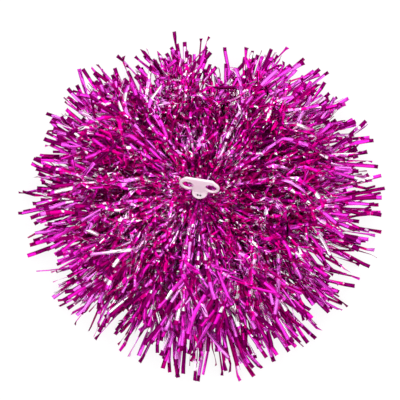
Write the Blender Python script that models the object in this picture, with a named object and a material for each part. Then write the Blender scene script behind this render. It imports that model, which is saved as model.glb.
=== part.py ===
"""Cheer pom pom: hanks of metallised film ribbon threaded on one cord under a white two-finger grip.

Metres, +Z up. The origin is on the floor under the middle of the pom pom. The grip's long side runs
along X, and the cord comes up through it on the -Y side.
"""
import math
from collections import namedtuple

import bmesh
import bpy
from mathutils import Matrix, Vector

MM = 0.001

# Film hanks: the ribbons' longest reach, and each hank's share of it, anticlockwise from +X
RIBBON_REACH = 200.0 * MM
HANK_REACH_SHARE = (
    0.990, 0.975, 0.995, 1.000, 0.970, 0.975, 0.915, 0.965, 0.905, 0.960, 0.980, 0.955,
    0.990, 0.940, 0.925, 0.935, 0.885, 0.930, 0.985, 0.975, 0.995, 0.960, 0.970, 0.995)
HANK_GAP = 0.3 * MM
STRAND_ROWS = 5
STRAND_COLUMNS = 4
STRAND_WIDTH = 3.8 * MM
STRAND_THICKNESS = 0.6 * MM
STRAND_TWIST = math.radians(38)
STRAND_SHORTENING = 24.0 * MM
ROW_STAGGER = 0.25
ROW_CROWDING = 0.8
KNEE_SCATTER = 4.0 * MM
TIP_SCATTER = 5.0 * MM
TIP_SWING = 0.24

# Rows of ribbon in a hank: they bend at a knee, the lowest on the floor and the highest at the crown
FLOOR_KNEE_RADIUS = 78.0 * MM
CROWN_KNEE_RADIUS = 97.0 * MM
CROWN_HEIGHT = 95.0 * MM
CROWN_SET_BACK = 40.0 * MM
TIP_DROOP = 12.0 * MM

# Root of a hank, where its ribbons are folded over the cord
ROOT_INNER_RADIUS = 3.0 * MM
ROOT_OUTER_RADIUS = 13.0 * MM
ROOT_ROW_HEIGHT = 2.0 * MM
FOLD_DROP = 3.0 * MM

# Cord: a flat spiral through every fold, with both ends up through the grip
CORD_RADIUS = 0.35 * MM
CORD_CLEARANCE = 0.3 * MM
CORD_HEIGHT = 46.0 * MM
CORD_RING_RADIUS = 6.0 * MM
CORD_RING_GROWTH = 1.9 * MM
CORD_BEND_RADIUS = 1.2 * MM
CORD_STRAIGHT = 1.6 * MM
BEAD_RADIUS = 0.95 * MM
BEAD_CAP_ANGLE = math.radians(72)
BEAD_GAP = 0.15 * MM

# Grip: an upright plate with two finger loops on a round flange, hung on the cord's ends
PIVOT_RISE = 9.5 * MM
TIE_HOLE_RADIUS = 0.75 * MM
TIE_HOLE_SPACING = 3.0 * MM
GRIP_LEAN = math.radians(18)
GRIP_ROLL = math.radians(6)
FLANGE_RADIUS = 8.75 * MM
FLANGE_THICKNESS = 1.5 * MM
FLANGE_EDGE = 0.45 * MM
FLANGE_SET_BACK = 4.7 * MM
SEAT_GAP = 0.3 * MM
PLATE_THICKNESS = 2.8 * MM
PLATE_EDGE = 0.9 * MM
FINGER_HOLE_RADIUS = 6.25 * MM
FINGER_HOLE_SPACING = 26.0 * MM
FINGER_HOLE_HEIGHT = 11.8 * MM
LOOP_RADIUS = 9.5 * MM
LOOP_LIFT = 0.9 * MM
TOP_EDGE_LENGTH = 30.0 * MM
TOP_EDGE_HEIGHT = 24.7 * MM
TOP_CORNER_RADIUS = 1.6 * MM
STEM_WIDTH = 12.4 * MM
STEM_FILLET = 2.0 * MM

# Finishes
Finish = namedtuple("Finish", "name colour roughness metallic")
MAGENTA_FILM = Finish("magenta_film", (0.62, 0.02, 0.40, 1.0), 0.25, 1.0)
WHITE_MOULDING = Finish("white_moulding", (0.86, 0.84, 0.83, 1.0), 0.38, 0.0)
BLACK_CORD = Finish("black_cord", (0.012, 0.010, 0.013, 1.0), 0.45, 0.0)

# Fineness of round shapes
ARC_STEP = math.radians(10)
RING_STEP = math.radians(15)
BEND_STEPS = 4
BEAD_STEPS = 6
SHARP_ANGLE = math.radians(40)
WELD = 1e-7
GOLDEN = 0.618034

HANK_COUNT = len(HANK_REACH_SHARE)
HANK_ANGLE = 2 * math.pi / HANK_COUNT
FRONT = -0.5 * math.pi
ENDS_ANGLE = math.asin(0.5 * TIE_HOLE_SPACING / CORD_RING_RADIUS)
PIVOT = Vector((0.0, -CORD_RING_RADIUS * math.cos(ENDS_ANGLE), CORD_HEIGHT + PIVOT_RISE))
GRIP_TURN = Matrix.Rotation(-GRIP_ROLL, 4, "Y") @ Matrix.Rotation(-GRIP_LEAN, 4, "X")
GRIP_TILT = GRIP_TURN.to_3x3().col[2].angle(Vector((0, 0, 1)))
BEAD_RISE = (0.5 * FLANGE_THICKNESS + BEAD_RADIUS + BEAD_GAP) / math.cos(GRIP_TILT)


def clear_scene():
    for old in list(bpy.data.objects):
        bpy.data.objects.remove(old, do_unlink=True)


def new_collection(name):
    collection = bpy.data.collections.new(name)
    bpy.context.scene.collection.children.link(collection)
    return collection


def make_material(finish):
    material = bpy.data.materials.new(finish.name)
    material.use_nodes = True
    shader = material.node_tree.nodes["Principled BSDF"]
    shader.inputs["Base Color"].default_value = finish.colour
    shader.inputs["Roughness"].default_value = finish.roughness
    shader.inputs["Metallic"].default_value = finish.metallic
    material.diffuse_color = finish.colour
    return material


def add_object(name, data, collection):
    thing = bpy.data.objects.new(name, data)
    collection.objects.link(thing)
    return thing


def add_cutter(name, data, collection):
    cutter = add_object(name, data, collection)
    cutter.hide_render = True
    cutter.display_type = "WIRE"
    return cutter


def boolean(thing, operation, other):
    cut = thing.modifiers.new(other.name, "BOOLEAN")
    cut.operation = operation
    cut.object = other
    cut.solver = "EXACT"


def mesh_from_bmesh(name, bm):
    bmesh.ops.recalc_face_normals(bm, faces=bm.faces)
    mesh = bpy.data.meshes.new(name)
    bm.to_mesh(mesh)
    bm.free()
    return mesh


def mesh_from_curve(name, curve):
    """The closed mesh of a bevelled curve, with its loose caps welded."""
    holder = bpy.data.objects.new(name, curve)
    bpy.context.scene.collection.objects.link(holder)
    bpy.context.view_layer.update()
    evaluated = holder.evaluated_get(bpy.context.evaluated_depsgraph_get())
    raw = bpy.data.meshes.new_from_object(evaluated)
    bm = bmesh.new()
    bm.from_mesh(raw)
    bmesh.ops.remove_doubles(bm, verts=bm.verts, dist=WELD)
    bpy.data.objects.remove(holder, do_unlink=True)
    bpy.data.curves.remove(curve)
    bpy.data.meshes.remove(raw)
    return mesh_from_bmesh(name, bm)


def polar(radius, angle, height):
    return Vector((radius * math.cos(angle), radius * math.sin(angle), height))


def spread(*indices):
    """A fixed scatter from -1 to 1 that is different for each set of indices."""
    mixed = sum(index * GOLDEN ** power for power, index in enumerate(indices, 1))
    return 2.0 * (mixed % 1.0) - 1.0


def arc(centre, radius, start, end):
    """Points of an arc in the plate's plane, from one angle to the other."""
    steps = max(2, math.ceil(abs(end - start) / ARC_STEP))
    angles = [start + (end - start) * step / steps for step in range(steps + 1)]
    return [centre + radius * Vector((math.cos(angle), math.sin(angle))) for angle in angles]


def round_corner(before, corner, after, radius):
    """The arc that rounds the corner between two straight edges."""
    back = (before - corner).normalized()
    ahead = (after - corner).normalized()
    half = 0.5 * back.angle(ahead)
    centre = corner + (back + ahead).normalized() * radius / math.sin(half)
    first = corner + back * radius / math.tan(half) - centre
    last = corner + ahead * radius / math.tan(half) - centre
    start = math.atan2(first.y, first.x)
    turn = math.remainder(math.atan2(last.y, last.x) - start, 2 * math.pi)
    return arc(centre, radius, start, start + turn)


def plate_half_outline():
    """The right half of the plate's outline, from the foot of the stem up to the middle of the top edge."""
    loop = Vector((0.5 * FINGER_HOLE_SPACING, FINGER_HOLE_HEIGHT + LOOP_LIFT))
    stem = 0.5 * STEM_WIDTH
    reach = LOOP_RADIUS + STEM_FILLET
    across = loop.x - stem - STEM_FILLET
    fillet = Vector((stem + STEM_FILLET, loop.y - math.sqrt(reach ** 2 - across ** 2)))
    towards = loop - fillet
    joint_angle = math.atan2(towards.y, towards.x)
    corner = Vector((0.5 * TOP_EDGE_LENGTH, TOP_EDGE_HEIGHT))
    shoulder = corner - loop
    tangent_angle = math.atan2(shoulder.y, shoulder.x) - math.acos(LOOP_RADIUS / shoulder.length)
    outline = [Vector((stem, 0.0))]
    outline += arc(fillet, STEM_FILLET, math.pi, joint_angle)
    outline += arc(loop, LOOP_RADIUS, joint_angle - math.pi, tangent_angle)[1:]
    outline += round_corner(outline[-1], corner, Vector((0.0, TOP_EDGE_HEIGHT)), TOP_CORNER_RADIUS)
    return outline


def add_outline(curve, points):
    spline = curve.splines.new("POLY")
    spline.points.add(len(points) - 1)
    for target, point in zip(spline.points, points):
        target.co = (point.x, point.y, 0.0, 1.0)
    spline.use_cyclic_u = True


def grip_plate_mesh():
    """The upright plate: a flat outline with two finger holes, its edges rounded all round."""
    curve = bpy.data.curves.new("plate_outline", "CURVE")
    curve.dimensions = "2D"
    curve.fill_mode = "BOTH"
    curve.extrude = 0.5 * PLATE_THICKNESS - PLATE_EDGE
    curve.bevel_depth = PLATE_EDGE
    curve.bevel_resolution = 2
    curve.offset = -PLATE_EDGE
    right = plate_half_outline()
    left = [Vector((-point.x, point.y)) for point in reversed(right)]
    add_outline(curve, right + left)
    for side in (-1, 1):
        centre = Vector((side * 0.5 * FINGER_HOLE_SPACING, FINGER_HOLE_HEIGHT))
        add_outline(curve, arc(centre, FINGER_HOLE_RADIUS, 0.0, -2 * math.pi)[:-1])
    mesh = mesh_from_curve("finger_grip", curve)
    stand_up = Matrix.Rotation(0.5 * math.pi, 4, "X")
    mesh.transform(Matrix.Translation((0.0, FLANGE_SET_BACK, 0.0)) @ stand_up)
    return mesh


def disc_mesh(name, radius, height, edge):
    """A round disc about Z, with its rims rounded when an edge is given."""
    bm = bmesh.new()
    segments = round(2 * math.pi / ARC_STEP)
    bmesh.ops.create_cone(bm, cap_ends=True, segments=segments, radius1=radius, radius2=radius, depth=height)
    if edge:
        rims = [line for line in bm.edges if abs(line.verts[0].co.z - line.verts[1].co.z) < WELD]
        bmesh.ops.bevel(bm, geom=rims, offset=edge, segments=2, profile=0.5, affect="EDGES")
    return mesh_from_bmesh(name, bm)


def build_grip(parts, cutters):
    """Plate and flange in one moulding, leaning on the pivot that runs through its two tie holes."""
    pivot = add_object("grip_pivot", None, cutters)
    pivot.matrix_world = Matrix.Translation(PIVOT) @ GRIP_TURN
    flange = add_cutter("flange", disc_mesh("flange", FLANGE_RADIUS, FLANGE_THICKNESS, FLANGE_EDGE), cutters)
    flange.location.y = FLANGE_SET_BACK
    flange.parent = pivot
    grip = add_object("finger_grip", grip_plate_mesh(), parts)
    grip.parent = pivot
    boolean(grip, "UNION", flange)
    for side, name in ((-1, "left"), (1, "right")):
        drill_mesh = disc_mesh("tie_hole_" + name, TIE_HOLE_RADIUS, 4 * FLANGE_THICKNESS, 0.0)
        drill = add_cutter("tie_hole_" + name, drill_mesh, cutters)
        drill.location.x = side * 0.5 * TIE_HOLE_SPACING
        drill.parent = pivot
        boolean(grip, "DIFFERENCE", drill)
    grip.data.materials.append(make_material(WHITE_MOULDING))
    grip.data.shade_smooth()
    grip.data.set_sharp_from_angle(angle=SHARP_ANGLE)


def cord_end(side):
    """One end of the cord, from its bead down through the grip to the bend onto the ring."""
    hole = PIVOT + GRIP_TURN.to_3x3() @ Vector((side * 0.5 * TIE_HOLE_SPACING, 0.0, 0.0))
    bead = hole + Vector((0.0, 0.0, BEAD_RISE))
    return bead, hole - Vector((0.0, 0.0, CORD_STRAIGHT))


def cord_ring():
    """The ring's points: a flat spiral with a quarter bend up at each end.

    It starts at the left end, passes the front, and runs once round and past the front again outside itself.
    """
    start = FRONT - ENDS_ANGLE
    turn = 2 * math.pi + 2 * ENDS_ANGLE
    first_radius = CORD_RING_RADIUS - 0.5 * CORD_RING_GROWTH
    bend_angles = [0.5 * math.pi * step / BEND_STEPS for step in range(BEND_STEPS)]
    first_bend = []
    last_bend = []
    for angle in bend_angles:
        height = CORD_HEIGHT + CORD_BEND_RADIUS * (1.0 - math.sin(angle))
        along = CORD_BEND_RADIUS * (1.0 - math.cos(angle))
        last_radius = first_radius + CORD_RING_GROWTH
        first_bend.append(polar(first_radius, start + along / first_radius, height))
        last_bend.append(polar(last_radius, start + turn - along / last_radius, height))
    flat_start = start + CORD_BEND_RADIUS / first_radius
    flat_turn = turn - CORD_BEND_RADIUS / first_radius - CORD_BEND_RADIUS / last_radius
    steps = math.ceil(flat_turn / RING_STEP)
    spiral = []
    for step in range(steps + 1):
        radius = first_radius + CORD_RING_GROWTH * step / steps
        spiral.append(polar(radius, flat_start + flat_turn * step / steps, CORD_HEIGHT))
    return first_bend + spiral + last_bend[::-1]


def bead_points(bead):
    """Points and widths of the melted bead on a cord end, listed from its top down to the bare cord."""
    lowest = math.acos(CORD_RADIUS / BEAD_RADIUS)
    points = []
    for step in range(BEAD_STEPS + 1):
        angle = BEAD_CAP_ANGLE - (BEAD_CAP_ANGLE + lowest) * step / BEAD_STEPS
        width = BEAD_RADIUS * math.cos(angle)
        points.append((bead + Vector((0.0, 0.0, BEAD_RADIUS * math.sin(angle))), width))
    return points


def tube_curve(name, points, depth, resolution):
    """A round tube through points that each carry their own radius."""
    curve = bpy.data.curves.new(name, "CURVE")
    curve.dimensions = "3D"
    curve.bevel_depth = depth
    curve.bevel_resolution = resolution
    curve.use_fill_caps = True
    spline = curve.splines.new("POLY")
    spline.points.add(len(points) - 1)
    for target, (point, radius) in zip(spline.points, points):
        target.co = (*point, 1.0)
        target.radius = radius / depth
    return curve


def least_gap(points, radius):
    """The smallest clear distance between stretches of the cord that aren't neighbours along it."""
    near = 2 * math.pi * CORD_RING_RADIUS / 3
    travelled = [0.0]
    for before, after in zip(points, points[1:]):
        travelled.append(travelled[-1] + (after - before).length)
    pairs = ((i, j) for i in range(len(points)) for j in range(i) if travelled[i] - travelled[j] > near)
    return min((points[i] - points[j]).length for i, j in pairs) - 2 * radius


def build_cord(parts, cutters):
    """The tie cord, and the wider copy of its route that clears every hank."""
    left_bead, left_low = cord_end(-1)
    right_bead, right_low = cord_end(1)
    ring = cord_ring()
    route = [left_low] + ring + [right_low]
    print(f"cord gap to itself {least_gap(ring, CORD_RADIUS) / MM:.2f} mm")
    bare = [(point, CORD_RADIUS) for point in route]
    beaded = bead_points(left_bead) + bare + bead_points(right_bead)[::-1]
    cord_tube = tube_curve("tie_cord", beaded, CORD_RADIUS, 2)
    cord = add_object("tie_cord", mesh_from_curve("tie_cord", cord_tube), parts)
    cord.data.materials.append(make_material(BLACK_CORD))
    cord.data.shade_smooth()
    channel_radius = CORD_RADIUS + CORD_CLEARANCE
    channel = [(point, channel_radius) for point in route]
    channel_tube = tube_curve("cord_channel", channel, channel_radius, 1)
    return add_cutter("cord_channel", mesh_from_curve("cord_channel", channel_tube), cutters)


def root_top_height(radius):
    """Height of the hank's root at a radius: it clears the flange's lowest rim and slopes up to the crown."""
    turn = GRIP_TURN.to_3x3()
    rim = []
    for step in range(round(2 * math.pi / ARC_STEP)):
        flat = polar(FLANGE_RADIUS, step * ARC_STEP, -0.5 * FLANGE_THICKNESS)
        rim.append(PIVOT + turn @ (flat + Vector((0.0, FLANGE_SET_BACK, 0.0))))
    lowest = min(rim, key=lambda point: point.z)
    seat_radius = lowest.xy.length
    seat_height = lowest.z - SEAT_GAP
    slope = (CROWN_HEIGHT - seat_height) / (CROWN_KNEE_RADIUS - seat_radius)
    return seat_height + slope * (radius - seat_radius)


def wedge_angle(radius):
    """Half the angle that a root fills at a radius, with the gap to the next root taken off."""
    return 0.5 * HANK_ANGLE - math.asin(0.5 * HANK_GAP / radius)


def root_block():
    """The folded root: a grid with one cell for each ribbon, drawn in to the fold's inner end."""
    bm = bmesh.new()
    bmesh.ops.create_grid(bm, x_segments=STRAND_COLUMNS, y_segments=STRAND_ROWS, size=0.5)
    outer_faces = bm.faces[:]
    share = {vert: (2 * vert.co.x, vert.co.y + 0.5) for vert in bm.verts}
    outer_height = STRAND_ROWS * ROOT_ROW_HEIGHT
    outer_bottom = root_top_height(ROOT_OUTER_RADIUS) - outer_height
    inner_top = root_top_height(ROOT_INNER_RADIUS)
    inner_bottom = CORD_HEIGHT - FOLD_DROP
    inward = bmesh.ops.extrude_face_region(bm, geom=outer_faces, use_keep_orig=True)["geom"]
    inner_verts = [item for item in inward if isinstance(item, bmesh.types.BMVert)]
    for vert in inner_verts:
        height = inner_top if vert.co.y > 0.0 else inner_bottom
        vert.co = polar(ROOT_INNER_RADIUS, 2 * vert.co.x * wedge_angle(ROOT_INNER_RADIUS), height)
    for vert, (side, level) in share.items():
        height = outer_bottom + level * outer_height
        vert.co = polar(ROOT_OUTER_RADIUS, side * wedge_angle(ROOT_OUTER_RADIUS), height)
    bmesh.ops.remove_doubles(bm, verts=inner_verts, dist=WELD)
    cells = [face for face in bm.faces if min(vert.co.xy.length for vert in face.verts)
             > 0.5 * (ROOT_INNER_RADIUS + ROOT_OUTER_RADIUS)]
    cells.sort(key=lambda face: (round(face.calc_center_median().z / ROOT_ROW_HEIGHT, 2),
                                 face.calc_center_median().y))
    return bm, cells


def strand_knee_and_tip(hank, row, column, lane, tip_angle):
    """Where a ribbon bends and where it ends: rows fan from the floor up and crowd towards the crown."""
    rise = (row / (STRAND_ROWS - 1)) ** ROW_CROWDING
    knee_radius = FLOOR_KNEE_RADIUS + rise * (CROWN_KNEE_RADIUS - FLOOR_KNEE_RADIUS)
    tip_radius = RIBBON_REACH * HANK_REACH_SHARE[hank] - CROWN_SET_BACK * rise ** 2
    if row == 0:
        knee_height = tip_height = 0.5 * STRAND_THICKNESS
    else:
        knee_height = CROWN_HEIGHT * rise + KNEE_SCATTER * spread(row, hank, column)
        tip_height = CROWN_HEIGHT * rise - TIP_DROOP + TIP_SCATTER * spread(hank, column, row)
    if row > 0 or column != STRAND_COLUMNS // 2:
        tip_radius -= STRAND_SHORTENING * abs(spread(hank, row, column))
    return polar(knee_radius, lane, knee_height), polar(tip_radius, tip_angle, tip_height)


def strand_sections(hank, row, column):
    """Centre, half width and half thickness of a ribbon at its knee and its tip."""
    pitch = HANK_ANGLE / STRAND_COLUMNS
    stagger = ROW_STAGGER if row % 2 else -ROW_STAGGER
    lane = (column - 0.5 * (STRAND_COLUMNS - 1) + stagger) * pitch
    tip_angle = lane + pitch * TIP_SWING * spread(column, hank, row)
    knee, tip = strand_knee_and_tip(hank, row, column, lane, tip_angle)
    along = (tip - knee).normalized()
    side = Vector((-along.y, along.x, 0.0)).normalized()
    up = along.cross(side)
    twist = STRAND_TWIST * spread(row, column, hank) if row else 0.0
    wide = 0.5 * STRAND_WIDTH * (math.cos(twist) * side + math.sin(twist) * up)
    thick = 0.5 * STRAND_THICKNESS * (math.cos(twist) * up - math.sin(twist) * side)
    return (knee, wide, thick), (tip, wide, thick)


def grow_strand(bm, face, sections):
    """Extrude one cell of the root through the ribbon's sections: a flat back and a low ridge along it."""
    side = Vector((0.0, 1.0, 0.0))
    up = Vector((0.0, 0.0, 1.0))
    for centre, wide, thick in sections:
        face = bmesh.ops.extrude_discrete_faces(bm, faces=[face])["faces"][0]
        middle = face.calc_center_median()
        signs = [(math.copysign(1.0, (vert.co - middle).dot(side)),
                  math.copysign(1.0, (vert.co - middle).dot(up))) for vert in face.verts]
        for vert, (across, above) in zip(face.verts, signs):
            vert.co = centre + thick if above > 0.0 else centre + across * wide - thick
        side = wide
        up = thick


def build_hank(hank, film, channel, parts):
    """One hank: its folded root with every ribbon grown out of it, turned to its place round the ring."""
    bm, cells = root_block()
    for index, face in enumerate(cells):
        row, column = divmod(index, STRAND_COLUMNS)
        grow_strand(bm, face, strand_sections(hank, row, column))
    bmesh.ops.remove_doubles(bm, verts=bm.verts, dist=WELD)
    name = f"film_hank_{hank + 1:02d}"
    thing = add_object(name, mesh_from_bmesh(name, bm), parts)
    thing.rotation_euler.z = (hank + 0.5) * HANK_ANGLE
    thing.data.materials.append(film)
    boolean(thing, "DIFFERENCE", channel)


def main():
    clear_scene()
    parts = new_collection("cheer_pom_pom")
    cutters = new_collection("cutters")
    build_grip(parts, cutters)
    channel = build_cord(parts, cutters)
    film = make_material(MAGENTA_FILM)
    for hank in range(HANK_COUNT):
        build_hank(hank, film, channel, parts)
    bpy.context.view_layer.update()


main()
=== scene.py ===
# %% [markdown]
# # A cheer pom pom, dressed for its picture
#
# The object is a ball of metallised film. Nearly eighteen hundred ribbon arms, in
# twenty-four bunches called hanks, are folded over a ring of black cord. A white finger
# grip with two round loops sits on top and rocks on the cord's two ends. This lesson
# dresses the solid model: first the camera, then the film, the grip, the cord, the floor
# and the light.

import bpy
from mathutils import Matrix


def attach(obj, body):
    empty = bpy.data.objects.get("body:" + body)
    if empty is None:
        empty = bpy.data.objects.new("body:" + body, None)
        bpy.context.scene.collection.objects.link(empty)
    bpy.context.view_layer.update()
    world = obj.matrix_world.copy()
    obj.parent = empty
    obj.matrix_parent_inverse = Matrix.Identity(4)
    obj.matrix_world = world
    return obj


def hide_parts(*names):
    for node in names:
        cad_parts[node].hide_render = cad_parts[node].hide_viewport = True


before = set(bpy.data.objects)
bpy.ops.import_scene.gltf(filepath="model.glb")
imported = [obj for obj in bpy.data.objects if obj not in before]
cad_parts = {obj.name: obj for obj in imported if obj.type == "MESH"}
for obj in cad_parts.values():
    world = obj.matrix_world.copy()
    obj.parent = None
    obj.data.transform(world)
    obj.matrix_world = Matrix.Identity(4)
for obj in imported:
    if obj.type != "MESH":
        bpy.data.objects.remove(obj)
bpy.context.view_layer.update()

import math

import bpy
import numpy as np
from mathutils import Vector

MM = 0.001
scene = bpy.context.scene
scene.view_settings.view_transform = "Standard"
hank_names = sorted(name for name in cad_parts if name.startswith("film_hank_"))
print("loaded", len(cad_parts), "solids, of which", len(hank_names), "are film hanks")

# %% [markdown]
# ## The camera
#
# The photograph looks down on the pom pom from a little off the vertical, with a long
# lens, so the camera stands far away. The grip's middle shows just above the middle of
# the picture. The aim point follows from that: start at the grip's middle, and step down
# the picture by as many millimetres as those pixels cover.

# %% Camera
IMAGE_PIXELS = 400
PIXEL = 1.09 * MM
VIEW_AZIMUTH = math.radians(11)
VIEW_ELEVATION = math.radians(75)
CAMERA_DISTANCE = 2.4
GRIP_MIDDLE = Vector((0, 0, 62 * MM))
GRIP_PIXELS_UP = 11
SENSOR = 36

toward_camera = Vector((math.sin(VIEW_AZIMUTH) * math.cos(VIEW_ELEVATION),
                        -math.cos(VIEW_AZIMUTH) * math.cos(VIEW_ELEVATION),
                        math.sin(VIEW_ELEVATION)))
picture_right = Vector((math.cos(VIEW_AZIMUTH), math.sin(VIEW_AZIMUTH), 0))
picture_up = toward_camera.cross(picture_right)
aim = GRIP_MIDDLE - picture_up * GRIP_PIXELS_UP * PIXEL

camera = bpy.data.objects.new("camera", bpy.data.cameras.new("camera"))
camera.data.sensor_width = SENSOR
camera.data.lens = SENSOR * CAMERA_DISTANCE / (IMAGE_PIXELS * PIXEL)
camera.location = aim + toward_camera * CAMERA_DISTANCE
camera.rotation_euler = (-toward_camera).to_track_quat("-Z", "Y").to_euler()
scene.collection.objects.link(camera)
scene.camera = camera
print("camera", round(camera.data.lens), "mm lens, aimed at", [round(x / MM, 1) for x in aim], "mm")

# %% [markdown]
# ## A little algebra for shaders
#
# A finish is a network of nodes. Wiring it by hand hides the idea, so a socket is
# wrapped in a small class: wires can be added, subtracted and multiplied like numbers,
# and each sum adds its own Math node. One method, `node`, makes every other node.

# %% Wires
class Wire:
    """An output socket that behaves like a number in sums."""

    def __init__(self, tree, socket=None):
        self.tree = tree
        self.socket = socket

    def node(self, kind, settings=(), sockets=(), out=0):
        """Adds one node: settings first, then socket values or links. Returns one output."""
        made = self.tree.nodes.new(kind)
        for name, value in dict(settings).items():
            if name == "stops":
                ramp = made.color_ramp.elements
                while len(ramp) < len(value):
                    ramp.new(1.0)
                for element, (position, colour) in zip(ramp, value):
                    element.position = position
                    element.color = (*colour, 1)
            else:
                setattr(made, name, value)
        for name, value in dict(sockets).items():
            if isinstance(value, Wire):
                self.tree.links.new(value.socket, made.inputs[name])
            else:
                made.inputs[name].default_value = value
        return Wire(self.tree, made.outputs[out] if len(made.outputs) else None)

    def maths(self, operation, first, second):
        """One Math node on two values, each of them a wire or a number."""
        return self.node("ShaderNodeMath", {"operation": operation}, {0: first, 1: second})

    def __add__(self, other):
        return self.maths("ADD", self, other)

    def __radd__(self, other):
        return self.maths("ADD", other, self)

    def __sub__(self, other):
        return self.maths("SUBTRACT", self, other)

    def __rsub__(self, other):
        return self.maths("SUBTRACT", other, self)

    def __mul__(self, other):
        return self.maths("MULTIPLY", self, other)

    def __rmul__(self, other):
        return self.maths("MULTIPLY", other, self)

    def fraction(self):
        """What is left of the value after its whole number is taken off."""
        return self.maths("FRACT", self, 0.0)

    def clamped(self, low, high):
        """The value itself, but never below low and never above high."""
        return self.maths("MINIMUM", self.maths("MAXIMUM", self, low), high)


def blank_finish(name):
    """A material with nothing in it, and a wire to build it from."""
    material = bpy.data.materials.new(name)
    material.use_nodes = True
    material.node_tree.nodes.clear()
    return material, Wire(material.node_tree)


def mixed(bench, share, first, second):
    """Blends two colours: share 0 gives the first, share 1 the second."""
    return bench.node("ShaderNodeMix", {"data_type": "RGBA"},
                      {0: share, 6: first, 7: second}, out=2)


def finish_surface(bench, shader):
    """Closes a finish: the shader becomes the material's surface."""
    bench.node("ShaderNodeOutputMaterial", (), {"Surface": shader})


print("wires ready")

# %% [markdown]
# ## The film's finish
#
# The ribbons are plastic film with a mirror of aluminium under a magenta dye. A metal
# shader gives the mirror, with a small diffuse share for the dye. Its colour is what one
# reflection keeps, and light that bounces between ribbons turns deeper and redder by
# itself. Reflections alone could make all the variety, but facets this small then come
# out too even, so each one also draws painted light and shade in its colour: a painted
# reflection from dark plum and wine to orchid.
#
# Each facet of the mesh carries a `tone`, which picks its painted light and shade. Where
# the film is crushed, small cells along the ribbon add to it. A slow noise through the
# whole ball makes patches of painted light and painted shade. The highest draws become
# painted glints: pale, smooth facets, a painted highlight as of film that faces a lamp.

# %% Film finish
# Dye colours with painted light and shade: the dark low end is painted shade, from 0.83 up painted glints.
FILM_DYE_AND_PAINTED_LIGHT = (
    (0.00, (0.20, 0.000, 0.12)),
    (0.06, (0.48, 0.000, 0.19)),
    (0.12, (0.78, 0.000, 0.26)),
    (0.40, (0.87, 0.001, 0.36)),
    (0.56, (0.90, 0.008, 0.56)),
    (0.72, (0.91, 0.065, 0.80)),
    (0.80, (0.96, 0.180, 0.92)),
    (0.83, (1.00, 0.600, 0.98)),
    (0.85, (1.00, 0.620, 0.97)),
    (0.92, (1.00, 0.780, 0.98)),
    (1.00, (1.00, 1.000, 1.00)))
FACET_CELLS = (0.5, 170.0, 1.0)
CLOUD_SCALE = 30.0
PATCH_SCALE = 24.0
PATCH_ON_SHADE = 1.7
PATCH_ON_GLINT = 0.3
CRUSHED_FROM = 0.3
CRUSHED_RISE = 100.0
GLINT_FROM = 0.82
GLINT_RISE = 1000.0
DYE_AND_SHADE_MOST = 0.81
GLINT_LEAST = 0.85
DARK_ROUGHNESS = 0.66
ROUGHNESS_LIMITS = (0.1, 0.5)
CLOUD_ROUGHNESS = 0.1
FILM_METAL = 0.8
FILM_EDGE = (0.9, 0.02, 0.5, 1)
FACET_HEIGHT = 1.0 * MM

film, bench = blank_finish("magenta_film")
tone = bench.node("ShaderNodeAttribute", {"attribute_name": "tone"}, out="Fac")
crumple = bench.node("ShaderNodeAttribute", {"attribute_name": "crumple"}, out="Fac")
along = bench.node("ShaderNodeUVMap", {"uv_map": "film"})
cells = bench.node("ShaderNodeMapping", (), {"Vector": along, "Scale": FACET_CELLS})
square_cells = {"distance": "CHEBYCHEV"}
in_cells = {"Vector": cells, "Scale": 1.0}
facets = bench.node("ShaderNodeTexVoronoi", square_cells, in_cells)
facet_draw = bench.node("ShaderNodeTexVoronoi", square_cells, in_cells, out="Color")
facet_tone = bench.node("ShaderNodeSeparateColor", (), {"Color": facet_draw}, out="Red")
cloud = bench.node("ShaderNodeTexNoise", (), {"Vector": along, "Scale": CLOUD_SCALE, "Detail": 1.0})
place = bench.node("ShaderNodeTexCoord", out="Object")
# Slow patches of painted light and painted shade through the whole ball.
painted_light_patch = bench.node("ShaderNodeTexNoise", (), {"Vector": place, "Scale": PATCH_SCALE, "Detail": 0.0})

crushed = ((crumple - CRUSHED_FROM) * CRUSHED_RISE).clamped(0, 1)
drawn = (tone + facet_tone * crushed).fraction()
lean = (painted_light_patch - 0.5) * crushed
# Painted glint: facets drawn high turn pale and smooth, a painted highlight.
painted_glint = ((drawn + lean * PATCH_ON_GLINT - GLINT_FROM) * GLINT_RISE).clamped(0, 1)
# The dye's colour, with painted shade and painted light from the draw and the patches.
dye_and_painted_shade = (drawn + lean * PATCH_ON_SHADE).clamped(0, DYE_AND_SHADE_MOST)
shade = dye_and_painted_shade * (1 - painted_glint) + drawn.clamped(GLINT_LEAST, 1) * painted_glint
film_colour = bench.node("ShaderNodeValToRGB", {"stops": FILM_DYE_AND_PAINTED_LIGHT}, {"Fac": shade})
film_relief = bench.node("ShaderNodeBump", (), {
    "Height": facets * crumple, "Strength": 1.0, "Distance": FACET_HEIGHT})
film_gloss = (DARK_ROUGHNESS - shade * DARK_ROUGHNESS).clamped(*ROUGHNESS_LIMITS)
film_shader = bench.node("ShaderNodeBsdfPrincipled", (), {
    "Base Color": film_colour, "Metallic": FILM_METAL, "Roughness": film_gloss + cloud * CLOUD_ROUGHNESS,
    "Specular Tint": FILM_EDGE, "Specular IOR Level": 0.0, "Normal": film_relief})
finish_surface(bench, film_shader)
print("film finish", len(film.node_tree.nodes), "nodes")

# %% [markdown]
# ## Where the ribbons point
#
# A shaken pom pom isn't a smooth ball: neighbouring ribbons cling together in tufts with
# notches between. Random lengths alone would give an even brush, so each tuft is written
# as the way it points, in degrees round the vertical, and how far its longest ribbons
# reach, in millimetres. A ribbon is drawn to the nearest tuft, more and more towards its
# tip.

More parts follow.
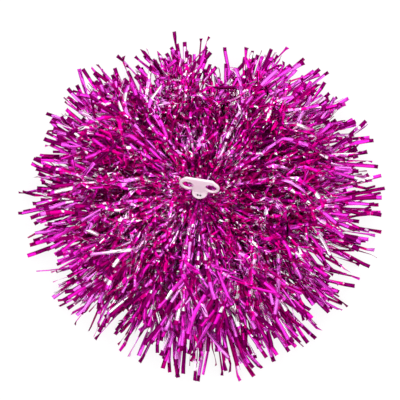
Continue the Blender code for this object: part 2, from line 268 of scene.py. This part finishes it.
# %% Tufts
TUFTS = np.array((
    (9, 209), (27, 211), (40, 206), (54, 209), (73, 207), (92, 160), (111, 203), (123, 176),
    (137, 188), (148, 202), (158, 203), (172, 200), (191, 206), (206, 202), (222, 200),
    (236, 204), (247, 182), (259, 194), (273, 206), (291, 208), (300, 198), (310, 210),
    (318, 204), (334, 203), (355, 208)))
TUFT_AZIMUTH = np.radians(TUFTS[:, 0])
TUFT_REACH = TUFTS[:, 1] * MM


def nearest_tuft(azimuth):
    """The turn from each azimuth to its nearest tuft, and that tuft's reach."""
    turn = (TUFT_AZIMUTH - azimuth[:, None] + np.pi) % (2 * np.pi) - np.pi
    nearest = np.abs(turn).argmin(axis=1)
    return np.take_along_axis(turn, nearest[:, None], axis=1)[:, 0], TUFT_REACH[nearest]


print(len(TUFTS), "tufts")

# %% [markdown]
# ## How a hank's ribbons are dealt out
#
# Ribbons are cut all alike and then shaken and crushed, so no two lie the same. They
# could be placed one by one, but a few ranges to draw from give the same disorder. All
# the ribbons of a hank are drawn together, with one row of an array for each.
#
# A ribbon's layer says how high it lies in the ball, from 0 at the floor to 1 on top.
# Upper ribbons reach less far, stray ones stay between the tufts, and a few are slit to
# slivers. Some are calm, with hardly a crease, above all in front of the grip.

# %% Ribbon layout
RIBBONS_PER_HANK = 74
HANK_TURN = 2 * np.pi / len(hank_names)
STRAY_SHARE = 0.3
STRAY_PULL = (0, 0.5)
TUFT_PULL = (0.6, 1.15)
RIBBON_WIDTH = 4.4 * MM
FULL_WIDTHS = (0.9, 1.1)
SLIVER_SHARE = 0.05
SLIVER_WIDTHS = (0.18, 0.4)
SHORT_MEAN = 12
SHORT_SPREAD = 20
SHORT_MOST = 80
SHORT_ON_TOP = 40 * MM
UPPER_LAYERS = (0.25, 0.8)
UPPER_SHORT_MOST = 24
NOTCH_SLOPE = 190 * MM
CALM_AZIMUTH = np.radians(281)
CALM_FRONT = (0.9, 1.0)
CALM_SHARE = 0.06
CALM_RISE = 0.12
FRONT_CALM_SHARE = 0.2
FRONT_CALM_RISE = 0.5
CALM_CRUMPLE = 0.15
CRUMPLES = (0.6, 1.3)


def ease(low, high, value):
    """Rises smoothly from 0 at low to 1 at high."""
    share = np.clip((value - low) / (high - low), 0, 1)
    return share * share * (3 - 2 * share)


def ribbon_layout(number, draw):
    """Each ribbon's azimuth, layer, turn to its tuft, width, reach and crumple.

    The reach is the tuft's, less a random length, a length that grows with the layer, and
    a slope down into the notches. Lengths that are drawn are in millimetres.
    """
    count = RIBBONS_PER_HANK
    row = np.arange(count)
    azimuth = (number + (row + draw.random(count)) / count) * HANK_TURN
    layer = draw.permutation((row + draw.random(count)) / count)
    turn, tuft_reach = nearest_tuft(azimuth)
    gap = np.abs(turn)
    stray = draw.random(count) < STRAY_SHARE
    turn = turn * np.where(stray, draw.uniform(*STRAY_PULL, count), draw.uniform(*TUFT_PULL, count))
    sliver = draw.random(count) < SLIVER_SHARE
    width = np.where(sliver, draw.uniform(*SLIVER_WIDTHS, count), draw.uniform(*FULL_WIDTHS, count))
    short = draw.normal(SHORT_MEAN, SHORT_SPREAD, count).clip(0, SHORT_MOST) * MM
    short = short + SHORT_ON_TOP * layer ** 2
    short = short + draw.uniform(0, UPPER_SHORT_MOST, count) * MM * ease(*UPPER_LAYERS, layer)
    reach = tuft_reach - short - NOTCH_SLOPE * gap
    front = ease(*CALM_FRONT, np.cos(azimuth - CALM_AZIMUTH))
    calm = CALM_SHARE + CALM_RISE * layer + (FRONT_CALM_SHARE + FRONT_CALM_RISE * layer) * front
    crumple = np.where(draw.random(count) < calm, CALM_CRUMPLE, draw.uniform(*CRUMPLES, count))
    return azimuth, layer, turn, width * RIBBON_WIDTH, reach, crumple[:, None]


trial_layout = ribbon_layout(0, np.random.default_rng(0))
print("one hank reaches", np.round(trial_layout[4].min(), 3), "to", np.round(trial_layout[4].max(), 3), "m")

# %% [markdown]
# ## The run of a ribbon
#
# A ribbon leaves the ring of cord, rises or sinks to its layer and falls a little towards
# its cut end. A chain of bones could be posed for that, but two cubic curves say it at
# once: one for the distance from the axis and one for the height. The creases divide the
# run into facets of uneven length, longer in the straight tail.

# %% Ribbon run
CREASES = 21
FACET_LENGTHS = np.repeat((1.0, 1.8, 0.5), (17, 3, 1))
FACET_SPREAD = (0.5, 1.5)
ROOT_RADIUS = 4.6 * MM
CORD_LEVEL = 46 * MM
ROOT_STACK = 5
NEAR_RADII = (35, 42)
FAR_RADII = (75, 112)
NEAR_HEIGHTS = (30, 66)
FAR_HEIGHTS = (-20, 122)
TIP_HEIGHTS = (0, 82)


def bezier(points, share):
    """A cubic curve through its first and last point, pulled towards the two between."""
    first, second, third, last = points
    rest = 1 - share
    return (rest ** 3 * first + 3 * rest ** 2 * share * second
            + 3 * rest * share ** 2 * third + share ** 3 * last)


def between(low, high, share):
    """The value that lies the given share of the way from low to high."""
    return low + (high - low) * share


def ribbon_run(draw, layer, reach):
    """Each crease's share of the way out, its distance from the axis and its height.

    The pairs above are for the lowest and the highest layer, in millimetres.
    """
    up = layer[:, None]
    step = draw.uniform(*FACET_SPREAD, (len(layer), CREASES)) * FACET_LENGTHS
    share = np.concatenate((np.zeros_like(up), np.cumsum(step, axis=1)), axis=1)
    share = share / share[:, -1:]
    radius = bezier((ROOT_RADIUS, between(*NEAR_RADII, up) * MM, between(*FAR_RADII, up) * MM,
                     reach[:, None]), share)
    height = bezier((CORD_LEVEL + (up - 0.5) * ROOT_STACK * MM, between(*NEAR_HEIGHTS, up) * MM,
                     between(*FAR_HEIGHTS, up) * MM, between(*TIP_HEIGHTS, up) * MM), share)
    return share, radius, height


longest = FACET_LENGTHS.max() / FACET_LENGTHS.sum()
print(CREASES, "facets to a ribbon, the longest about", np.round(longest, 2), "of its run")

# %% [markdown]
# ## Bends, fans and hooks
#
# Film that has been shaken sways to and fro. Towards its end the bunch opens: some tips
# fan out to one side and some curl into hooks. The last stretch before the cut springs
# back nearly straight. A cloth solver could find such bends, but not for this many strips
# in a few seconds, so they are sums of slow sine waves.

# %% Ribbon bends
WAVE_COUNT = 3
WAVE_PACES = (6, 34)
WAVE_HEIGHT = 13
WAVES_END = 0.78
LOOSE_SIDEWAYS = (0.04, 0.2)
LOOSE_UPWARD = (0.08, 0.3)
TAIL_SHARES = (0.03, 0.17)
TAIL_SHORTER_ON_TOP = 0.5
TAIL_CALM = 0.8
FAN_SPREAD = 0.28
FAN_WIDE = (-0.6, 0, 0.6)
FAN_WIDE_ODDS = (0.04, 0.92, 0.04)
FAN_FROM = 0.68
FAN_REACH = 190
HOOK_SIDES = (-1, 0, 1)
HOOK_ODDS = (0.1, 0.8, 0.1)
HOOK_SIZES = (0.3, 1)
HOOK_FROM = 0.74
HOOK_REACH = 420


def waves(draw, count, share):
    """Slow bends: sine waves of random pace and start are summed, one row for each ribbon."""
    pace = draw.uniform(*WAVE_PACES, (WAVE_COUNT, count, 1))
    start = draw.uniform(0, 2 * np.pi, (WAVE_COUNT, count, 1))
    return np.sum(np.sin(pace * share + start) / np.sqrt(pace), axis=0)


def ribbon_bends(draw, layer, share, crumple):
    """How loose and how crushed each crease is, and how far it sways sideways and upward.

    Both sways are waves. A fan adds a straight line to the sideways one, a hook a square.
    """
    count = len(layer)
    loose = ease(*LOOSE_SIDEWAYS, share)
    tail = draw.uniform(*TAIL_SHARES, (count, 1)) * (1 - TAIL_SHORTER_ON_TOP * layer[:, None])
    crush = loose * (1 - TAIL_CALM * ease(1 - tail, 1 - tail / 3, share)) * crumple
    fan = draw.normal(0, FAN_SPREAD, (count, 1)) + draw.choice(FAN_WIDE, (count, 1), p=FAN_WIDE_ODDS)
    until_tail = np.minimum(share, WAVES_END)
    sideways = waves(draw, count, until_tail) * WAVE_HEIGHT * MM * loose * crumple
    hook = draw.choice(HOOK_SIDES, (count, 1), p=HOOK_ODDS) * draw.uniform(*HOOK_SIZES, (count, 1))
    sideways = sideways + fan * FAN_REACH * MM * np.clip(share - FAN_FROM, 0, 1)
    sideways = sideways + hook * HOOK_REACH * MM * np.clip(share - HOOK_FROM, 0, 1) ** 2
    upward = waves(draw, count, until_tail) * WAVE_HEIGHT * MM * ease(*LOOSE_UPWARD, share) * crumple
    return loose, crush, sideways, upward


print("one tip in", round(1 / (1 - HOOK_ODDS[1])), "is a hook")

# %% [markdown]
# ## Creases
#
# Real film bends only out of its own plane, so it crumples into flat facets joined by
# sharp creases. A displaced smooth strip would look like cloth. Here every crease is
# pushed along the film's own normal, and the film turns about its path by a twist that
# wanders: each crease keeps part of the twist of the one before.

# %% Ribbon creases
TWIST_KEPT = 0.65
CALM_SWING = 4
CRUSH_SWING = 60
WHOLE_TWIST = 0.4
CALM_PUSH = 0.4
CRUSH_PUSH = 4.3
crease_number = np.arange(CREASES + 1)
later = crease_number[None, :] - crease_number[:, None]
SETTLING = np.where(later >= 0, TWIST_KEPT ** np.maximum(later, 0), 0)


def unit(vectors):
    """The same directions with length 1: each vector divided by its own length."""
    return vectors / np.linalg.norm(vectors, axis=-1, keepdims=True)


def creased(draw, centre, aside, loose, crush, crumple):
    """The creased centre line, and the film's width direction and normal along it.

    The twist turns these two directions about the path. Swings are in degrees, pushes in
    millimetres, and both grow with the crush.
    """
    tangent = unit(np.gradient(centre, axis=1))
    lateral = unit(aside - tangent * np.sum(aside * tangent, axis=-1, keepdims=True))
    normal = np.cross(tangent, lateral)
    swing = np.radians(CALM_SWING * loose + CRUSH_SWING * crush) * draw.normal(0, 1, crush.shape)
    twist = swing @ SETTLING + draw.normal(0, WHOLE_TWIST, crumple.shape) * loose * crumple ** 0.5
    cosine = np.cos(twist)[..., None]
    sine = np.sin(twist)[..., None]
    wide = cosine * lateral + sine * normal
    facing = cosine * normal - sine * lateral
    push = draw.uniform(-1, 1, crush.shape) * (CALM_PUSH * loose + CRUSH_PUSH * crush) * MM
    return centre + facing * push[..., None], wide, facing


print("twist settles by", TWIST_KEPT, "at each crease")

# %% [markdown]
# ## One hank of ribbons, as arrays
#
# The four steps come together here. Every array has one row for each ribbon and one column
# for each crease, so a whole hank takes no loop.

# %% Ribbon paths
GATHERING = (0.25, 0.95)


def hank_paths(number, draw):
    """The centre line, width direction, normal, width and crush of every ribbon in one hank.

    A crease lies at its radius and height, turned towards the tuft, plus its two sways.
    """
    azimuth, layer, turn, width, reach, crumple = ribbon_layout(number, draw)
    share, radius, height = ribbon_run(draw, layer, reach)
    loose, crush, sideways, upward = ribbon_bends(draw, layer, share, crumple)
    angle = azimuth[:, None] + turn[:, None] * ease(*GATHERING, share)
    outward = np.stack((np.cos(angle), np.sin(angle)), axis=-1)
    aside = np.stack((-outward[..., 1], outward[..., 0], np.zeros_like(angle)), axis=-1)
    centre = np.concatenate((outward * radius[..., None], height[..., None]), axis=-1)
    centre = centre + aside * sideways[..., None]
    centre[..., 2] += upward
    centre, wide, facing = creased(draw, centre, aside, loose, crush, crumple)
    return centre, wide, facing, width, crush


trial = hank_paths(0, np.random.default_rng(0))
print("one hank:", trial[0].shape[0], "ribbons of", trial[0].shape[1] - 1, "facets")

# %% [markdown]
# ## From paths to film
#
# Film has two faces, so a ribbon gets a very flat triangular section: two edges and a
# ridge a few hundredths of a millimetre high, like film with a faint lengthwise fold.
# That closes the surface with three faces a facet, where a thickened sheet would need
# four. Film that would sink into the floor is lifted clear of it.

# %% Ribbon meshes
FILM_RIDGE = 0.06 * MM
FLOOR_CLEARANCE = 0.3 * MM


def film_points(centre, wide, facing, width):
    """Three points at each crease: half a width to either side, and the ridge between."""
    half = wide * width[:, None, None] / 2
    points = np.stack((centre - half, centre + half, centre + facing * FILM_RIDGE), axis=2)
    lowest = points[..., 2].min(axis=2, keepdims=True)
    points[..., 2] += np.maximum(FLOOR_CLEARANCE - lowest, 0)
    return points


def ribbon_faces(count):
    """Corner numbers of the quads along every ribbon and of its two end triangles."""
    start = np.arange(count)[:, None] * (CREASES + 1) * 3
    first = (start + np.arange(CREASES)[None, :] * 3).reshape(-1, 1)
    sides = np.array(((0, 1, 4, 3), (0, 3, 5, 2), (2, 5, 4, 1)))
    quads = (first[:, :, None] + sides[None]).reshape(-1, 4)
    last = CREASES * 3
    caps = np.array(((0, 2, 1), (last, last + 1, last + 2)))
    ends = (start[:, :, None] + caps[None]).reshape(-1, 3)
    return quads, ends


def mesh_from_arrays(name, points, quads, triangles):
    """Fills a mesh from arrays: points, then four-cornered faces, then three-cornered ones."""
    mesh = bpy.data.meshes.new(name)
    corners = np.concatenate((quads.ravel(), triangles.ravel()))
    starts = np.concatenate((np.arange(len(quads)) * 4, quads.size + np.arange(len(triangles)) * 3))
    mesh.vertices.add(len(points))
    mesh.vertices.foreach_set("co", points.ravel())
    mesh.loops.add(len(corners))
    mesh.loops.foreach_set("vertex_index", corners.astype(np.int32))
    mesh.polygons.add(len(starts))
    mesh.polygons.foreach_set("loop_start", starts.astype(np.int32))
    mesh.update(calc_edges=True)
    return mesh, corners


print("a ribbon has", 3 * CREASES + 2, "faces")

# %% [markdown]
# ## What the finish reads
#
# The finish needs three things from each ribbon: a map of its length and width, how
# crumpled each facet is, and each facet's tone, which picks its painted light and shade.
# A picture could hold them, but the mesh carries them without one. Crushed facets draw any
# tone. Straight film keeps a middle tone of its own, with a facet of painted shade or a
# pale painted glint here and there, and many cut ends get painted shade.

# %% Ribbon map and tones
ACROSS_SECTION = (0, 1, 0.5)
MAP_SPREAD = 40
STRAIGHT_TONES = (0.54, 0.83)
STRAIGHT_WANDER = 0.06
DARK_BELOW = 0.24
DARK_DEPTH = 0.25
PALE_ABOVE = 0.93
DARK_END_SHARE = 0.6
DARK_END_TONE = 0.01


def film_places(draw, centre):
    """The film map: across the width from 0 to 1 and a random step, along it in metres."""
    lengths = np.linalg.norm(np.diff(centre, axis=1), axis=-1)
    distance = np.concatenate((np.zeros_like(lengths[:, :1]), np.cumsum(lengths, axis=1)), axis=1)
    across = np.broadcast_to(np.array(ACROSS_SECTION), (*distance.shape, len(ACROSS_SECTION)))
    offset = draw.uniform(0, MAP_SPREAD, len(centre))[:, None, None]
    return np.stack((across + offset, np.broadcast_to(distance[..., None], across.shape)), axis=-1)


def facet_tones(draw, crumpled):
    """A tone from 0 to 1 for each facet's painted light and shade: any where crushed, near the ribbon's own
    elsewhere.
    """
    count = len(crumpled)
    tone = draw.random(crumpled.shape)
    own_tone = draw.uniform(*STRAIGHT_TONES, (count, 1)) + STRAIGHT_WANDER * (tone - 0.5)
    # Dark facets here are painted shade, pale ones painted glints.
    straight_tone = np.select((tone < DARK_BELOW, tone > PALE_ABOVE), (DARK_DEPTH * tone, tone), own_tone)
    tone = np.where(crumpled > CRUSHED_FROM, tone, straight_tone)
    # Many cut ends are painted dark: painted shade.
    tone[:, -1] = np.where(draw.random(count) < DARK_END_SHARE, DARK_END_TONE, tone[:, -1])
    return tone


print("straight film has tones from", STRAIGHT_TONES[0], "to", STRAIGHT_TONES[1])

# %% [markdown]
# ## One piece for each hank
#
# A hank comes off the bench as one bunch, so its ribbons become one mesh. It stands for
# the hank's solid, rides with the pom, and gets the film's finish.

# %% Hanks of film
HANK_SEED = 400


def hank_piece(number, node):
    """One hank of film ribbons, standing for its solid."""
    draw = np.random.default_rng(HANK_SEED + number)
    centre, wide, facing, width, crush = hank_paths(number, draw)
    points = film_points(centre, wide, facing, width)
    quads, ends = ribbon_faces(len(width))
    mesh, corners = mesh_from_arrays(node + "_film", points.reshape(-1, 3), quads, ends)

    film_map = mesh.uv_layers.new(name="film")
    film_map.data.foreach_set("uv", film_places(draw, centre).reshape(-1, 2)[corners].ravel())
    crumpled = crush[:, 1:].clip(0, 1)
    tone = facet_tones(draw, crumpled)
    for name, facet in (("tone", tone), ("crumple", crumpled)):
        of_faces = np.concatenate((np.repeat(facet.ravel(), 3), facet[:, (0, -1)].ravel()))
        mesh.attributes.new(name, "FLOAT", "FACE").data.foreach_set("value", of_faces)

    piece = bpy.data.objects.new(node + "_film", mesh)
    scene.collection.objects.link(piece)
    mesh.materials.append(film)
    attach(piece, "pom")
    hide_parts(node)
    return piece


hanks = [hank_piece(number, node) for number, node in enumerate(hank_names)]
print(len(hanks), "hanks,", sum(len(piece.data.polygons) for piece in hanks), "faces")

# %% [markdown]
# ## The moulded grip
#
# The grip is one white plastic moulding, and its solid already has the right shape, so
# the solid stays and only its finish is made here. Moulded plastic is never quite even:
# its gloss is a little cloudy, and the skin has a very fine orange-peel texture. In the
# photograph light from the film tints it, so its white is painted a little pink here: a
# painted reflection of the film's light.

# %% Grip finish
HAZE_SCALE = 140.0
PEEL_SCALE = 1400.0
PEEL_STRENGTH = 0.15
PEEL_HEIGHT = 0.1 * MM
# Both colours carry a painted pink cast of the film's reflected light; the haze mixes them at random.
PLASTIC_DEEPER_PINK_CAST = (0.84, 0.72, 0.78, 1)
PLASTIC_PALER_PINK_CAST = (0.88, 0.78, 0.83, 1)
PLASTIC_ROUGHNESS = 0.28
HAZE_ROUGHNESS = 0.2

plastic, bench = blank_finish("white_moulding")
place = bench.node("ShaderNodeTexCoord", out="Object")
haze = bench.node("ShaderNodeTexNoise", (), {"Vector": place, "Scale": HAZE_SCALE, "Detail": 3.0})
peel = bench.node("ShaderNodeTexNoise", (), {"Vector": place, "Scale": PEEL_SCALE, "Detail": 1.0})
plastic_colour = mixed(bench, haze, PLASTIC_DEEPER_PINK_CAST, PLASTIC_PALER_PINK_CAST)
plastic_relief = bench.node("ShaderNodeBump", (), {
    "Height": peel, "Strength": PEEL_STRENGTH, "Distance": PEEL_HEIGHT})
plastic_shader = bench.node("ShaderNodeBsdfPrincipled", (), {
    "Base Color": plastic_colour, "Roughness": PLASTIC_ROUGHNESS + haze * HAZE_ROUGHNESS,
    "Normal": plastic_relief})
finish_surface(bench, plastic_shader)
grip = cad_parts["finger_grip"]
grip.data.materials.clear()
grip.data.materials.append(plastic)
print("grip finish", len(plastic.node_tree.nodes), "nodes")

# %% [markdown]
# ## The tie cord
#
# A thin black nylon line holds the ribbons. It's twisted from strands, and its two ends
# are melted into beads that keep it from slipping back through the flange. Only the beads
# show, so the solid stays, and a fine diagonal wave stands for the strands.

# %% Cord finish
LAY_SCALE = 900.0
LAY_WANDER = 2.0
LAY_STRENGTH = 0.4
LAY_HEIGHT = 0.1 * MM
NYLON_DARK = (0.005, 0.004, 0.006, 1)
NYLON_PALE = (0.012, 0.010, 0.013, 1)
NYLON_ROUGHNESS = 0.6
LAY_ROUGHNESS = 0.2
NYLON_GLOSS = 0.2

nylon, bench = blank_finish("black_cord")
place = bench.node("ShaderNodeTexCoord", out="Object")
lay = bench.node("ShaderNodeTexWave", {"bands_direction": "DIAGONAL"},
                 {"Vector": place, "Scale": LAY_SCALE, "Distortion": LAY_WANDER})
nylon_colour = mixed(bench, lay, NYLON_DARK, NYLON_PALE)
nylon_relief = bench.node("ShaderNodeBump", (), {
    "Height": lay, "Strength": LAY_STRENGTH, "Distance": LAY_HEIGHT})
nylon_shader = bench.node("ShaderNodeBsdfPrincipled", (), {
    "Base Color": nylon_colour, "Roughness": NYLON_ROUGHNESS + lay * LAY_ROUGHNESS,
    "Specular IOR Level": NYLON_GLOSS, "Normal": nylon_relief})
finish_surface(bench, nylon_shader)
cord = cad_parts["tie_cord"]
cord.data.materials.clear()
cord.data.materials.append(nylon)
print("cord finish", len(nylon.node_tree.nodes), "nodes")

# %% [markdown]
# ## The floor
#
# The photograph stands on plain white. More light would whiten a grey floor, but it would
# bleach the film too. So the floor is a pale matt sheet that shows close to white to the
# camera and in the film's reflections, and it still takes the pom pom's shadow.

# %% Floor
FLOOR_HALF = 6.0
FLOOR_LIFT = 0.85
FLOOR_MATT = (0.9, 0.9, 0.9, 1)
FLOOR_WHITE = (1, 1, 1, 1)

floor_corners = np.array(((-1, -1, 0), (1, -1, 0), (1, 1, 0), (-1, 1, 0))) * FLOOR_HALF
floor_mesh = bpy.data.meshes.new("floor")
floor_mesh.from_pydata(floor_corners.tolist(), [], [(0, 1, 2, 3)])
floor = bpy.data.objects.new("floor", floor_mesh)
scene.collection.objects.link(floor)

sheet, bench = blank_finish("floor_sheet")
path = {kind: bench.node("ShaderNodeLightPath", out=kind)
        for kind in ("Is Camera Ray", "Is Glossy Ray", "Is Transmission Ray")}
seen = (path["Is Camera Ray"] + path["Is Glossy Ray"] + path["Is Transmission Ray"]).clamped(0, 1)
matt = bench.node("ShaderNodeBsdfDiffuse", (), {"Color": FLOOR_MATT})
white = bench.node("ShaderNodeEmission", (), {"Color": FLOOR_WHITE, "Strength": 1.0})
finish_surface(bench, bench.node("ShaderNodeMixShader", (), {0: seen * FLOOR_LIFT, 1: matt, 2: white}))
floor_mesh.materials.append(sheet)
print("floor", 2 * FLOOR_HALF, "m square")

# %% [markdown]
# ## The light
#
# A mirror shows its surroundings, so the light is part of the film's look. One lamp would
# leave half the ball black, so the room is even: pale walls, and a ceiling a little
# dimmer. Five soft panels stand round the pom pom, the one behind it the brightest, and
# six small boxes higher up put glints on the creases.

# %% World
CEILING = 1.05
WALLS = 1.15
CEILING_FROM = 0.78
CEILING_RISE = 8.0

world = bpy.data.worlds.new("studio")
scene.world = world
world.use_nodes = True
world.node_tree.nodes.clear()
bench = Wire(world.node_tree)
direction = bench.node("ShaderNodeTexCoord", out="Generated")
rise = bench.node("ShaderNodeSeparateXYZ", (), {0: direction}, out="Z")
ceiling = ((rise - CEILING_FROM) * CEILING_RISE).clamped(0, 1)
room = mixed(bench, ceiling, (WALLS, WALLS, WALLS, 1), (CEILING, CEILING, CEILING, 1))
sky = bench.node("ShaderNodeBackground", (), {"Color": room, "Strength": 1.0})
bench.node("ShaderNodeOutputWorld", (), {"Surface": sky})
print("room", WALLS, "at the walls and", CEILING, "at the ceiling")

# %% Lamps
PANELS = ((12, 1.3), (84, 2.2), (156, 1.5), (228, 1.0), (300, 1.0))
PANEL_LIFT = 28
PANEL_DISTANCE = 1.7
PANEL_SIZE = (1.2, 0.9)
BOXES = ((20, 60), (80, 52), (140, 64), (200, 56), (260, 66), (320, 58))
BOX_DISTANCE = 1.6
BOX_SIZE = (0.3, 0.3)
BOX_RADIANCE = 3.0


def soft_box(name, azimuth, elevation, distance, width, height, radiance):
    """A flat lamp that faces the pom pom. Its power is radiance times area times pi."""
    lamp = bpy.data.lights.new(name, "AREA")
    lamp.shape = "RECTANGLE"
    lamp.size = width
    lamp.size_y = height
    lamp.energy = radiance * math.pi * width * height
    holder = bpy.data.objects.new(name, lamp)
    turn = math.radians(azimuth)
    lift = math.radians(elevation)
    away = Vector((math.cos(turn) * math.cos(lift), math.sin(turn) * math.cos(lift), math.sin(lift)))
    holder.location = away * distance
    holder.rotation_euler = (-away).to_track_quat("-Z", "Y").to_euler()
    scene.collection.objects.link(holder)
    return holder


panels = [soft_box(f"panel_{turn}", turn, PANEL_LIFT, PANEL_DISTANCE, *PANEL_SIZE, radiance)
          for turn, radiance in PANELS]
boxes = [soft_box(f"box_{turn}", turn, lift, BOX_DISTANCE, *BOX_SIZE, BOX_RADIANCE)
         for turn, lift in BOXES]
print(len(panels), "panels and", len(boxes), "small boxes")
